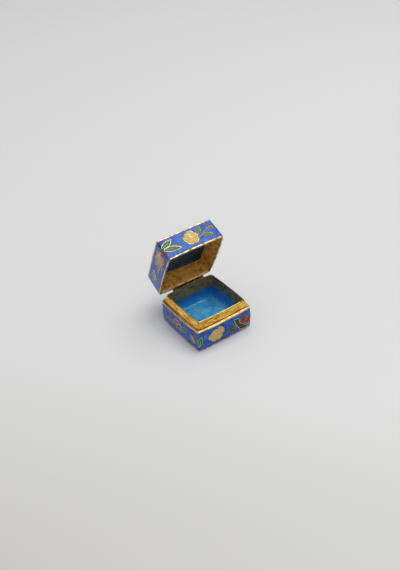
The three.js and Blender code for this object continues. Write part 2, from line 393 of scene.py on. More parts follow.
class Loft:
    """A shell drawn up from a rounded square plate, by extruding its edge from section to section."""

    def __init__(self, name: str, first: Section, ring: bool = False) -> None:
        """Lays the first plate.

        Args:
            name: the object's name.
            first: the first section.
            ring: True for a band that is open at both ends until it is closed on itself.
        """
        clear_selection()
        bpy.ops.mesh.primitive_plane_add(size=2 * first.half, enter_editmode=True)
        self.shape = bpy.context.object
        self.shape.name = name
        self.ring = ring
        bpy.ops.mesh.bevel(offset=first.radius, segments=CORNER_STEPS, affect="VERTICES")
        bpy.ops.mesh.delete(type="ONLY_FACE")
        plan = bmesh.from_edit_mesh(self.shape.data)
        bpy.ops.mesh.select_all(action="DESELECT")
        for edge in plan.edges:
            edge.select_set(edge.calc_length() > first.half)  # the four straight sides
        bpy.ops.mesh.subdivide(number_cuts=SIDE_STEPS - 1)
        bpy.ops.mesh.select_all(action="SELECT")
        if not ring:
            bpy.ops.mesh.edge_face_add()
        self.number_places(first)
        self.fit(first)

    def number_places(self, first: Section) -> None:
        """Numbers the plate's points as the section's outline has them; extruded points keep their number."""
        def bearing(spot: Vector) -> float:
            return (math.atan2(spot.y, spot.x) + 0.01) % (2 * math.pi)

        plan = bmesh.from_edit_mesh(self.shape.data)
        place = plan.verts.layers.int.new("place")
        outline = first.outline()
        order = sorted(range(len(outline)), key=lambda index: bearing(outline[index]))
        for vertex, index in zip(sorted(plan.verts, key=lambda v: bearing(v.co)), order, strict=True):
            vertex[place] = index
        bmesh.update_edit_mesh(self.shape.data)

    def fit(self, section: Section) -> None:
        """Moves the selected loop on to a section."""
        plan = bmesh.from_edit_mesh(self.shape.data)
        place = plan.verts.layers.int["place"]
        outline = section.outline()
        for vertex in plan.verts:
            if vertex.select:
                vertex.co = outline[vertex[place]]
        bmesh.update_edit_mesh(self.shape.data)

    def through(self, sections: Iterable[Section]) -> "Loft":
        """Extrudes the edge through each section in turn."""
        for section in sections:
            bpy.ops.mesh.extrude_region_move()
            self.fit(section)
        return self

    def close(self) -> bpy.types.Object:
        """Closes a ring on itself, points the faces outwards and leaves edit mode.

        Returns:
            The finished mesh.
        """
        if self.ring:
            bpy.ops.mesh.select_all(action="DESELECT")
            bpy.ops.mesh.select_mode(type="EDGE")
            bpy.ops.mesh.select_non_manifold(use_wire=False, use_multi_face=False, use_non_contiguous=False,
                                             use_verts=False)
            bpy.ops.mesh.bridge_edge_loops()
            bpy.ops.mesh.select_mode(type="VERT")
        bpy.ops.mesh.select_all(action="SELECT")
        bpy.ops.mesh.normals_make_consistent(inside=False)
        bpy.ops.object.mode_set(mode="OBJECT")
        return self.shape


def lip_profile(shell: Shell, low: float, high: float, inside: float) -> list[Section]:
    """Worn, rounded section of a gilt lip between two heights.

    Args:
        shell: the half that has the lip.
        low: height of its lower edge.
        high: height of its upper edge.
        inside: how far in the lip's faces begin and end.

    Returns:
        The sections, from the lower edge up.
    """
    ease = BOX.lip_ease
    turns = [(1.0, 0.0), (0.62, 0.08), (0.29, 0.29), (0.08, 0.62), (0.0, 1.0)]
    bottom = [shell.section(low + ease * rise, ease * back) for back, rise in turns]
    top = [shell.section(high - ease * rise, ease * back) for back, rise in reversed(turns)]
    return [shell.section(low, inside)] + bottom + top + [shell.section(high, inside)]


# ---------------------------------------------------------------- finishes


def linear(code: str) -> tuple[float, float, float, float]:
    """Turns an sRGB hex colour into linear red, green, blue and a full alpha."""
    def channel(value: float) -> float:
        return value / 12.92 if value <= 0.04045 else ((value + 0.055) / 1.055) ** 2.4

    red, green, blue = (channel(int(code[i:i + 2], 16) / 255) for i in (1, 3, 5))
    return red, green, blue, 1.0


def add_node(tree: bpy.types.NodeTree, kind: str, settings: dict | None = None,
             links: dict | None = None) -> bpy.types.Node:
    """Adds a node.

    Args:
        tree: the material's tree.
        kind: the node's type.
        settings: values by the name or number of an input, or by the name of a property.
        links: the output that feeds each input, by the input's name or number.

    Returns:
        The node.
    """
    node = tree.nodes.new(kind)
    for key, value in (settings or {}).items():
        if isinstance(key, int) or key in node.inputs:
            node.inputs[key].default_value = value
        else:
            setattr(node, key, value)
    for key, output in (links or {}).items():
        tree.links.new(output, node.inputs[key])
    return node


GLASS_IOR = 1.52


def per_metre(millimetres: float) -> float:
    """Scale that makes a pattern repeat about every so many millimetres."""
    return 1 / (millimetres * MM)


def set_ramp(node: bpy.types.Node, stops: Sequence[tuple[float, str]]) -> bpy.types.Node:
    """Gives a colour ramp its stops, each a place and an sRGB hex colour."""
    ramp = node.color_ramp
    while len(ramp.elements) < len(stops):
        ramp.elements.new(0.5)
    for element, (place, code) in zip(ramp.elements, stops):
        element.position = place
        element.color = linear(code)
    return node


@dataclass(frozen=True)
class Finish:
    """What every finish has: a name, and a new material with its shader and its Object coordinates."""

    name: str

    def start(self) -> tuple[bpy.types.Material, bpy.types.NodeTree, bpy.types.Node, bpy.types.NodeSocket]:
        """Makes the material.

        Returns:
            The material, its tree, its shader and the output that gives the place on the object.
        """
        material = bpy.data.materials.new(self.name)
        material.use_nodes = True
        tree = material.node_tree
        spot = add_node(tree, "ShaderNodeTexCoord").outputs["Object"]
        return material, tree, tree.nodes["Principled BSDF"], spot


@dataclass(frozen=True)
class GiltMetal(Finish):
    """Fire-gilt copper or brass, rubbed bright and browned in cloudy patches.

    The browning is a second metal colour and a rougher skin, as a metal's colour is all in its reflection.
    """

    bright: str = "#e3b868"
    warm: str = "#c08a3e"
    tarnish: str = "#6a451c"
    tarnish_share: float = 0.42  # lower leaves more of the surface browned
    roughness: tuple[float, float] = (0.26, 0.46)
    grain: tuple[float, float, float] = (1.6, 1.6, 1.6)  # size of the cloudy wear along each axis, in mm
    scratch: float = 0.12  # pitch of the finest rubbing marks, drawn coarser than real so that they show
    relief: float = 0.25
    metallic: float = 1.0  # less where the skin has oxidised dull

    def material(self) -> bpy.types.Material:
        """Builds the finish."""
        material, tree, shader, spot = self.start()
        stretch = add_node(tree, "ShaderNodeMapping", {"Scale": tuple(1 / size for size in self.grain)},
                           {"Vector": spot})
        wear = add_node(tree, "ShaderNodeTexNoise",
                        {"Scale": per_metre(1.0), "Detail": 6.0, "Roughness": 0.62},
                        {"Vector": stretch.outputs["Vector"]})
        tint = set_ramp(add_node(tree, "ShaderNodeValToRGB", links={"Fac": wear.outputs["Fac"]}), [
            (self.tarnish_share - 0.16, self.tarnish), (self.tarnish_share, self.warm),
            (self.tarnish_share + 0.16, self.bright), (self.tarnish_share + 0.34, self.warm)])
        fine = add_node(tree, "ShaderNodeTexNoise", {"Scale": per_metre(self.scratch * 4), "Detail": 5.0},
                        {"Vector": stretch.outputs["Vector"]})
        rough = add_node(tree, "ShaderNodeMapRange",
                         {"From Min": 0.3, "From Max": 0.7, "To Min": self.roughness[1],
                          "To Max": self.roughness[0]},
                         {"Value": wear.outputs["Fac"]})
        bump = add_node(tree, "ShaderNodeBump", {"Strength": self.relief, "Distance": 0.03 * MM},
                        {"Height": fine.outputs["Fac"]})
        shader.inputs["Metallic"].default_value = self.metallic
        tree.links.new(tint.outputs["Color"], shader.inputs["Base Color"])
        tree.links.new(rough.outputs["Result"], shader.inputs["Roughness"])
        tree.links.new(bump.outputs["Normal"], shader.inputs["Normal"])
        return material


@dataclass(frozen=True)
class GroundEnamel(Finish):
    """Opaque cobalt glass fused in one coat and stoned flat: cloudy, with darker flecks and small pits.

    The stoning leaves a soft gloss over a surface that is not quite even.
    """

    deep: str = "#0a2474"
    body: str = "#124fae"
    pale: str = "#3c8be4"
    cloud: float = 3.2  # millimetres between clouds
    fleck: float = 0.34
    pit_pitch: float = 1.3
    roughness: float = 0.16
    specular: float = 0.3

    def material(self) -> bpy.types.Material:
        """Builds the finish."""
        material, tree, shader, spot = self.start()
        cloud = add_node(tree, "ShaderNodeTexNoise", {"Scale": per_metre(self.cloud), "Detail": 6.0,
                                                      "Roughness": 0.68, "Distortion": 0.5}, {"Vector": spot})
        tint = set_ramp(add_node(tree, "ShaderNodeValToRGB", links={"Fac": cloud.outputs["Fac"]}),
                        [(0.30, self.deep), (0.48, self.body), (0.72, self.pale)])
        fleck = add_node(tree, "ShaderNodeTexNoise", {"Scale": per_metre(self.fleck), "Detail": 3.0},
                         {"Vector": spot})
        fleck_tint = set_ramp(add_node(tree, "ShaderNodeValToRGB", links={"Fac": fleck.outputs["Fac"]}),
                              [(0.32, "#56607c"), (0.56, "#b8bcc4"), (0.74, "#d8e4f4")])
        flecked = add_node(tree, "ShaderNodeMix", {"data_type": "RGBA", "blend_type": "OVERLAY", 0: 0.42},
                           {6: tint.outputs["Color"], 7: fleck_tint.outputs["Color"]})
        pit = add_node(tree, "ShaderNodeTexVoronoi", {"Scale": per_metre(self.pit_pitch), "Randomness": 1.0},
                       {"Vector": spot})
        hollow = add_node(tree, "ShaderNodeMapRange", {"From Min": 0.05, "From Max": 0.13, "To Min": 1.0,
                                                       "To Max": 0.0}, {"Value": pit.outputs["Distance"]})
        pitted = add_node(tree, "ShaderNodeMix", {"data_type": "RGBA", 7: linear("#0d1a3c")},
                          {0: hollow.outputs["Result"], 6: flecked.outputs[2]})
        level = add_node(tree, "ShaderNodeTexNoise", {"Scale": per_metre(1.1), "Detail": 2.0},
                         {"Vector": spot})
        height = add_node(tree, "ShaderNodeMath", {"operation": "SUBTRACT"},
                          {0: level.outputs["Fac"], 1: hollow.outputs["Result"]})
        bump = add_node(tree, "ShaderNodeBump", {"Strength": 0.35, "Distance": 0.05 * MM},
                        {"Height": height.outputs["Value"]})
        shader.inputs["Roughness"].default_value = self.roughness
        shader.inputs["IOR"].default_value = GLASS_IOR
        shader.inputs["Specular IOR Level"].default_value = self.specular
        tree.links.new(pitted.outputs[2], shader.inputs["Base Color"])
        tree.links.new(bump.outputs["Normal"], shader.inputs["Normal"])
        return material


@dataclass(frozen=True)
class CellEnamel(Finish):
    """Opaque coloured glass in one cell: thinner and darker against the wires, fuller in the middle."""

    edge: str = "#17502e"
    middle: str = "#3f8a4c"
    fleck: str = "#0d3018"
    roughness: float = 0.18
    specular: float = 0.25

    def material(self) -> bpy.types.Material:
        """Builds the finish."""
        material, tree, shader, spot = self.start()
        fill = add_node(tree, "ShaderNodeAttribute", {"attribute_name": "fill"})
        cloud = add_node(tree, "ShaderNodeTexNoise",
                         {"Scale": per_metre(0.7), "Detail": 4.0, "Roughness": 0.6}, {"Vector": spot})
        spread = add_node(tree, "ShaderNodeMath", {"operation": "MULTIPLY_ADD", 1: 1.5, 2: -0.75},
                          {0: cloud.outputs["Fac"]})
        blend = add_node(tree, "ShaderNodeMath", {"operation": "ADD", "use_clamp": True},
                         {0: fill.outputs["Fac"], 1: spread.outputs["Value"]})
        tint = set_ramp(add_node(tree, "ShaderNodeValToRGB", links={"Fac": blend.outputs["Value"]}),
                        [(0.0, self.fleck), (0.3, self.edge), (0.9, self.middle)])
        bump = add_node(tree, "ShaderNodeBump", {"Strength": 0.25, "Distance": 0.04 * MM},
                        {"Height": cloud.outputs["Fac"]})
        shader.inputs["Roughness"].default_value = self.roughness
        shader.inputs["IOR"].default_value = GLASS_IOR
        shader.inputs["Specular IOR Level"].default_value = self.specular
        tree.links.new(tint.outputs["Color"], shader.inputs["Base Color"])
        tree.links.new(bump.outputs["Normal"], shader.inputs["Normal"])
        return material


@dataclass(frozen=True)
class LinerGlaze(Finish):
    """Glossy counter-enamel poured inside a half, pale at its lowest and darker higher up as painted shade,
    with bare brass past its edge.

    The brass beside the ragged edge is browned and greened by handling. Heights come from "rise".
    """

    deep: str = "#2272c4"
    body: str = "#38a8ea"
    pale: str = "#6cccf4"
    brass: tuple[str, str] = ("#6c6030", "#5f7c4c")
    brass_metallic: float = 0.6
    painted_shade_heights: tuple[float, float] = (3.0, 8.0)  # heights between which the glass darkens: painted shade
    tide: float = 8.8  # height of the ragged edge in the middle
    tide_slope: float = 0.06  # how much higher the edge runs for each millimetre to the right
    bare_above: bool = True
    ragged: float = 1.2
    gloss: float = 0.07
    specular: float = 0.5
    pits: tuple[tuple[float, float, float], ...] = ()  # burst bubbles, in the frame's millimetres

    def pitted(self, tree: bpy.types.NodeTree, spot: bpy.types.NodeSocket,
               glass: bpy.types.NodeSocket) -> bpy.types.NodeSocket:
        """Darkens the glass in each burst bubble.

        Args:
            tree: the material's tree.
            spot: the place on the object.
            glass: the glass's colour.

        Returns:
            The colour with its pits.
        """
        for pit in self.pits:
            away = add_node(tree, "ShaderNodeVectorMath",
                            {"operation": "DISTANCE", 1: [axis * MM for axis in pit]}, {0: spot})
            hollow = add_node(tree, "ShaderNodeMapRange", {"From Min": 0.16 * MM, "From Max": 0.42 * MM,
                                                           "To Min": 0.9, "To Max": 0.0},
                              {"Value": away.outputs["Value"]})
            glass = add_node(tree, "ShaderNodeMix", {"data_type": "RGBA", 7: linear("#0b2a58")},
                             {0: hollow.outputs["Result"], 6: glass}).outputs[2]
        return glass

    def material(self) -> bpy.types.Material:
        """Builds the finish."""
        material, tree, shader, spot = self.start()
        rise = add_node(tree, "ShaderNodeAttribute", {"attribute_name": "rise"}).outputs["Fac"]
        axes = add_node(tree, "ShaderNodeSeparateXYZ", links={"Vector": spot})
        # painted shade: the glass darkens with its height
        depth = add_node(tree, "ShaderNodeMapRange", {"From Min": self.painted_shade_heights[0], "From Max": self.painted_shade_heights[1]},
                         {"Value": rise})
        cloud = add_node(tree, "ShaderNodeTexNoise",
                         {"Scale": per_metre(5.5), "Detail": 5.0, "Roughness": 0.6, "Distortion": 0.8},
                         {"Vector": spot})
        drift = add_node(tree, "ShaderNodeMath", {"operation": "MULTIPLY_ADD", 1: -1.5, 2: 0.95},
                         {0: cloud.outputs["Fac"]})
        shade = add_node(tree, "ShaderNodeMath", {"operation": "ADD", "use_clamp": True},
                         {0: depth.outputs["Result"], 1: drift.outputs["Value"]})
        glass = set_ramp(add_node(tree, "ShaderNodeValToRGB", links={"Fac": shade.outputs["Value"]}),
                         [(0.0, self.pale), (0.35, self.body), (1.0, self.deep)])
        rough_edge = add_node(tree, "ShaderNodeTexNoise", {"Scale": per_metre(2.4), "Detail": 4.0},
                              {"Vector": spot})
        slope = add_node(tree, "ShaderNodeMath", {"operation": "MULTIPLY_ADD", 1: -self.tide_slope / MM},
                         {0: axes.outputs["X"], 2: rise})
        tide = add_node(tree, "ShaderNodeMath", {"operation": "MULTIPLY_ADD", 1: self.ragged},
                        {0: rough_edge.outputs["Fac"], 2: slope.outputs["Value"]})
        edge = self.tide + self.ragged / 2
        bare = add_node(tree, "ShaderNodeMapRange",
                        {"From Min": edge - 0.15, "From Max": edge + 0.15,
                         "To Min": float(not self.bare_above), "To Max": float(self.bare_above)},
                        {"Value": tide.outputs["Value"]})
        brass = set_ramp(add_node(tree, "ShaderNodeValToRGB", links={"Fac": rough_edge.outputs["Fac"]}),
                         [(0.35, self.brass[0]), (0.65, self.brass[1])])
        tint = add_node(tree, "ShaderNodeMix", {"data_type": "RGBA"},
                        {0: bare.outputs["Result"], 6: self.pitted(tree, spot, glass.outputs["Color"]),
                         7: brass.outputs["Color"]})
        rough = add_node(tree, "ShaderNodeMapRange", {"To Min": self.gloss, "To Max": 0.45},
                         {"Value": bare.outputs["Result"]})
        metal = add_node(tree, "ShaderNodeMath", {"operation": "MULTIPLY", 1: self.brass_metallic},
                         {0: bare.outputs["Result"]})
        level = add_node(tree, "ShaderNodeTexNoise", {"Scale": per_metre(2.0), "Detail": 2.0},
                         {"Vector": spot})
        bump = add_node(tree, "ShaderNodeBump", {"Strength": 0.3, "Distance": 0.08 * MM},
                        {"Height": level.outputs["Fac"]})
        shader.inputs["IOR"].default_value = GLASS_IOR
        shader.inputs["Specular IOR Level"].default_value = self.specular
        tree.links.new(tint.outputs[2], shader.inputs["Base Color"])
        tree.links.new(rough.outputs["Result"], shader.inputs["Roughness"])
        tree.links.new(metal.outputs["Value"], shader.inputs["Metallic"])
        tree.links.new(bump.outputs["Normal"], shader.inputs["Normal"])
        return material


class Enamel(Enum):
    """The coloured glasses of the cells, each with the record's slot that it belongs to."""

    GOLDEN = ("golden_enamel", "#a8741c", "#d09a34", "#7c4e10")
    STRAW = ("golden_enamel", "#b88c30", "#dcb850", "#94661a")
    OCHRE = ("golden_enamel", "#7c4c10", "#a8701e", "#5c360a")
    LEAF = ("leaf_green_enamel", "#0b3c20", "#157038", "#072414")
    SAGE = ("leaf_green_enamel", "#133c24", "#3a6a3c", "#0e2618")
    DARK_LEAF = ("leaf_green_enamel", "#082a16", "#103e24", "#05180c")
    OLIVE = ("leaf_green_enamel", "#32330f", "#5e5c1e", "#20200a")
    RED = ("brick_red_enamel", "#50120a", "#86281a", "#300a06")
    RUST = ("brick_red_enamel", "#6e3a14", "#a0602a", "#43210c")
    ROSE = ("rose_tan_enamel", "#6e4638", "#a08264", "#503028")
    # a pale cell that stands for a highlight on the lid: painted highlight
    PAINTED_HIGHLIGHT_TEAL = ("turquoise_enamel", "#34707e", "#7fb0ae", "#245460")

    @property
    def slot(self) -> str:
        """The record's material slot."""
        return self.value[0]

    def material(self) -> bpy.types.Material:
        """Builds the cell's glass."""
        _, edge, middle, fleck = self.value
        return CellEnamel(f"{self.name.lower()}_enamel", edge=edge, middle=middle, fleck=fleck).material()


@dataclass(frozen=True)
class Finishes:
    """All finishes of the box, each built once."""

    gilt: bpy.types.Material
    ledge: bpy.types.Material
    wire: bpy.types.Material
    collar: bpy.types.Material
    groove: bpy.types.Material
    patina: bpy.types.Material
    lid_brass: bpy.types.Material
    hinge: bpy.types.Material
    ground: bpy.types.Material
    liner: bpy.types.Material
    ceiling: bpy.types.Material
    cells: dict[Enamel, bpy.types.Material]


def make_finishes() -> Finishes:
    """Builds every finish."""
    return Finishes(
        gilt=GiltMetal("worn_gilt", bright="#dccaa8", warm="#b89a70", tarnish="#75603f",
                       roughness=(0.3, 0.5)).material(),
        ledge=GiltMetal("rubbed_gilt", bright="#f4dca0", warm="#d8b470", tarnish="#94703c",
                        grain=(3.0, 3.0, 1.0), roughness=(0.24, 0.44)).material(),
        wire=GiltMetal("cloison_gilt", bright="#fbeec4", warm="#e8d09a", tarnish="#b08c4c",
                       scratch=0.1).material(),
        collar=GiltMetal("polished_brass", bright="#fde07a", warm="#e2ac42", tarnish="#744812",
                         grain=(4.2, 4.2, 0.9), tarnish_share=0.47, roughness=(0.2, 0.42),
                         relief=0.6).material(),
        # dark brass for the collar's groove: painted shade
        groove=GiltMetal("groove_brass_painted_shade", bright="#a06a2a", warm="#6e4216", tarnish="#3a200a",
                         grain=(2.0, 2.0, 2.0), roughness=(0.4, 0.6)).material(),
        patina=GiltMetal("browned_brass", bright="#949068", warm="#94784c", tarnish="#5a4830",
                         grain=(2.6, 2.6, 1.6), tarnish_share=0.47, roughness=(0.36, 0.55),
                         metallic=0.5).material(),
        lid_brass=GiltMetal("aged_brass", bright="#ffcc62", warm="#e8a244", tarnish="#98601c",
                            grain=(2.2, 2.2, 2.2), tarnish_share=0.46, roughness=(0.36, 0.58), relief=0.5,
                            metallic=0.2).material(),
        hinge=GiltMetal("hinge_brass", bright="#b07e44", warm="#7a5022", tarnish="#2c1a0a",
                        grain=(0.9, 0.9, 0.9), roughness=(0.34, 0.6), relief=0.5).material(),
        ground=GroundEnamel("cobalt_ground").material(),
        liner=LinerGlaze("turquoise_liner", pits=((12.9, 3.8, 2.9), (7.1, 3.9, 2.75))).material(),
        # dark teal glass that darkens further towards the flat of the ceiling: painted shade
        ceiling=LinerGlaze("teal_ceiling", deep="#0e3648", body="#18506e", pale="#28789a",
                           brass=("#e8a244", "#98601c"), brass_metallic=0.2, painted_shade_heights=(7.5, 11.0), tide=8.6,
                           tide_slope=-0.05, bare_above=False, gloss=0.3, specular=0.25).material(),
        cells={enamel: enamel.material() for enamel in Enamel},
    )


# ---------------------------------------------------------------- shells


@dataclass
class BaseShell:
    """Lower half: gilt copper tray with two lips, enamel round its sides, and glaze inside and below."""

    finishes: Finishes
    size: BoxSizes = BOX
    floor_rings: tuple[float, ...] = (9.0, 6.5, 4.0, 1.6)

    @property
    def floor(self) -> float:
        """Top of the copper floor."""
        return self.size.plate_enamel + self.size.copper

    def cavity(self, z: float, inset: float = 0.0) -> Section:
        """Plan of the copper wall inside, drawn in by inset."""
        top = self.size.collar_foot - self.size.gap
        draft = self.size.cavity_draft * (1 - (z - self.floor) / (top - self.floor))
        return CAVITY.inset(inset + draft, z)

    def tray(self) -> None:
        """The copper tray, its lips worn round."""
        size = self.size
        plate = BASE_SHELL.section(0.0, size.plate_border)
        socket = COLLAR.inset(-size.gap, size.base_height)
        seat = size.collar_foot - size.gap
        bottom = lip_profile(BASE_SHELL, 0.0, size.lip, size.enamel_depth)
        top = lip_profile(BASE_SHELL, size.base_height - size.lip, size.base_height, size.enamel_depth)
        shape = Loft("base_tray", plate.at(size.plate_enamel)).through(
            [plate] + bottom[1:] + top[:-1]
            + [socket, socket.at(seat), self.cavity(seat), self.cavity(self.floor)]
        ).close()
        dress(shape, [self.finishes.gilt, self.finishes.ledge],
              lambda middle: int(middle.z > size.base_height - size.lip - 0.01))
        set_down(shape, Half.BASE, "gilt_copper", ["base_body"])

    def ground(self) -> None:
        """The blue enamel round the sides."""
        ground_band("base_ground", BASE_SHELL, self.finishes.ground, Half.BASE, "base_side_enamel")

    def glaze(self) -> None:
        """The turquoise glaze that lines the inside, with its pooled corner all round the floor."""
        size = self.size
        skin = size.cavity_skin
        floor = self.floor + size.floor_enamel
        top = size.collar_foot - 2 * size.gap
        spring = self.cavity(floor + size.floor_fillet, skin)
        curve = pooled_corner(spring, size.floor_fillet, floor)
        rings = [curve[-1].shrunk(half, floor - 0.02) for half in self.floor_rings]
        shape = Loft("base_glaze", self.cavity(self.floor + size.gap, size.gap)).through(
            [self.cavity(top, size.gap), self.cavity(top, skin)]
            + [self.cavity(top - (top - spring.z) * step / 3, skin) for step in (1, 2)]
            + [spring] + curve + rings
        ).close()
        dress(shape, [self.finishes.liner])
        mark_rise(shape)
        set_down(shape, Half.BASE, "turquoise_enamel", ["base_inner_enamel"])

    def underside(self) -> None:
        """The plain blue glaze let into the underside, a hair above the border that the box stands on."""
        size = self.size
        edge = BASE_SHELL.section(0.0, size.plate_border + size.gap)
        rings = [edge.shrunk(half, 0.06) for half in (14.2, 10.0, 5.0)]
        shape = Loft("base_underside_glaze", edge.at(size.plate_enamel - size.gap)).through(
            [edge.at(0.12)] + rings).close()
        dress(shape, [self.finishes.ground])
        set_down(shape, Half.BASE, "turquoise_enamel", ["base_underside_enamel"])

    def build(self) -> None:
        """Builds the whole lower half."""
        self.tray()
        self.ground()
        self.glaze()
        self.underside()


def pooled_corner(spring: Section, radius: float, level: float) -> list[Section]:
    """Sections of the quarter round between a glazed wall and the level that it runs out to.

    Args:
        spring: where the round leaves the wall.
        radius: of the round.
        level: height of the floor or the ceiling.

    Returns:
        The sections after spring, down or up to the level.
    """
    curve = []
    for step in range(1, CORNER_ROUND_STEPS + 1):
        angle = step / CORNER_ROUND_STEPS * math.pi / 2
        z = level + (spring.z - level) * (1 - math.sin(angle))
        curve.append(spring.shrunk(spring.half - radius * (1 - math.cos(angle)), z))
    return curve


def ground_band(name: str, shell: Shell, material: bpy.types.Material, half: Half, node: str) -> None:
    """The enamel round one half's sides: flush with both lips and a little full between them."""
    low = BOX.lip + BOX.gap
    high = shell.height - BOX.lip - BOX.gap
    back = BOX.enamel_depth - BOX.gap
    heights = [low + (high - low) * step / BAND_STEPS for step in range(BAND_STEPS + 1)]
    face = [shell.section(z, -shell.swell(z)) for z in heights]
    shape = Loft(name, face[0], ring=True).through(
        face[1:] + [shell.section(high, back), shell.section(low, back)]).close()
    dress(shape, [material])
    set_down(shape, half, "cobalt_enamel", [node])


@dataclass
class Collar:
    """Brass band inside the base's rim, that the lid closes over: groove, bead, sloped face and mouth."""

    finishes: Finishes
    size: BoxSizes = BOX
    seam_x: float = -1.3  # where the band's two ends meet in front
    seam_radius: float = 0.22
    seam_sink: float = 0.13
    seam_start: float = 0.5  # its foot is this far above the ledge
    mouth_band: float = 0.12  # the browned skin runs this far on to the mouth's edge
    groove_height: float = 0.27
    easing: float = 0.75  # how fast the outer corners grow rounder towards the mouth
    catch: tuple[float, float, float] = (2.2, 0.21, 1.1)  # bump that the lid snaps over: width, depth, height
    catch_z: float = 14.2
    catch_inset: float = 0.3

    @property
    def profile(self) -> list[Point]:
        """Outer face from the ledge to the mouth, each point an inset and a height."""
        ledge, top = self.size.base_height, self.size.collar_top
        return [(0.0, ledge - 0.1), (0.04, ledge + 0.0), (0.2, ledge + 0.04), (0.24, ledge + 0.12),
                (0.2, ledge + 0.2), (0.04, ledge + 0.26), (-0.08, ledge + 0.34), (-0.12, ledge + 0.46),
                (-0.1, ledge + 0.6), (-0.02, ledge + 0.78), (0.06, ledge + 1.1), (0.18, ledge + 1.7),
                (0.32, ledge + 2.3), (0.46, top - 0.98), (0.57, top - 0.62), (0.68, top - 0.34),
                (0.8, top - 0.15), (0.92, top - 0.05), (1.04, top)]

    def outside(self, inset: float, z: float) -> Section:
        """Plan of the outer face, drawn in by inset."""
        return Section(COLLAR.half - inset, COLLAR.radius + self.easing * max(inset, 0.0), z, COLLAR.bow)

    def inside(self, back: float, z: float) -> Section:
        """Plan of the mouth, set back by back."""
        return Section(MOUTH.half + back, MOUTH.radius, z, MOUTH.bow)

    def finish_at(self, middle: Vector) -> int:
        """Which finish a face takes.

        Args:
            middle: the face's middle.

        Returns:
            0 polished outside, 1 browned inside and along the mouth, 2 dark brass in the groove as painted
            shade.
        """
        reach, beside = sorted((abs(middle.x), abs(middle.y)), reverse=True)
        if reach < MOUTH.half + side_swell(0, min(beside / MOUTH.half, 1.0), MOUTH.bow) + self.mouth_band:
            return 1
        # faces low in the groove take the dark brass: painted shade
        return 2 if middle.z < self.size.base_height + self.groove_height else 0

    def band(self) -> bpy.types.Object:
        """The band itself."""
        size, top = self.size, self.size.collar_top
        inner = [(0.14, top - 0.02), (0.06, top - 0.1), (0.01, top - 0.24), (0.0, top - 0.5),
                 (0.0, top - 2.4), (0.0, top - 4.6), (0.0, size.collar_foot)]
        shape = Loft("collar_band", self.outside(0.0, size.collar_foot), ring=True).through(
            [self.outside(*station) for station in self.profile]
            + [self.inside(*station) for station in inner]
        ).close()
        dress(shape, [self.finishes.collar, self.finishes.patina, self.finishes.groove], self.finish_at)
        return shape

    def seam(self) -> bpy.types.Object:
        """The soldered ridge where the band's ends meet."""
        line = bent_rod("collar_seam", self.seam_radius, 3)
        front = COLLAR.half + COLLAR.bow - self.seam_sink
        add_run(line, [Vector((self.seam_x, inset - front, z)) for inset, z in self.profile
                       if z > self.size.base_height + self.seam_start])
        shape = rod_mesh(line)
        dress(shape, [self.finishes.wire])
        return shape

    def snap(self) -> bpy.types.Object:
        """The low bump that holds the lid shut."""
        clear_selection()
        bpy.ops.mesh.primitive_uv_sphere_add(segments=24, ring_count=12, radius=0.5, enter_editmode=True)
        bpy.ops.transform.resize(value=self.catch)
        bpy.ops.object.mode_set(mode="OBJECT")
        shape = bpy.context.object
        shape.location = (self.seam_x - self.catch[0] * 0.75, self.catch_inset - COLLAR.half - COLLAR.bow,
                          self.catch_z)
        apply_place()
        dress(shape, [self.finishes.collar])
        return shape

    def build(self) -> None:
        """The band with its seam and its catch, bright outside and browned inside."""
        shape = joined("collar_band", [self.band(), self.seam(), self.snap()])
        set_down(shape, Half.BASE, "collar_brass", ["collar"])


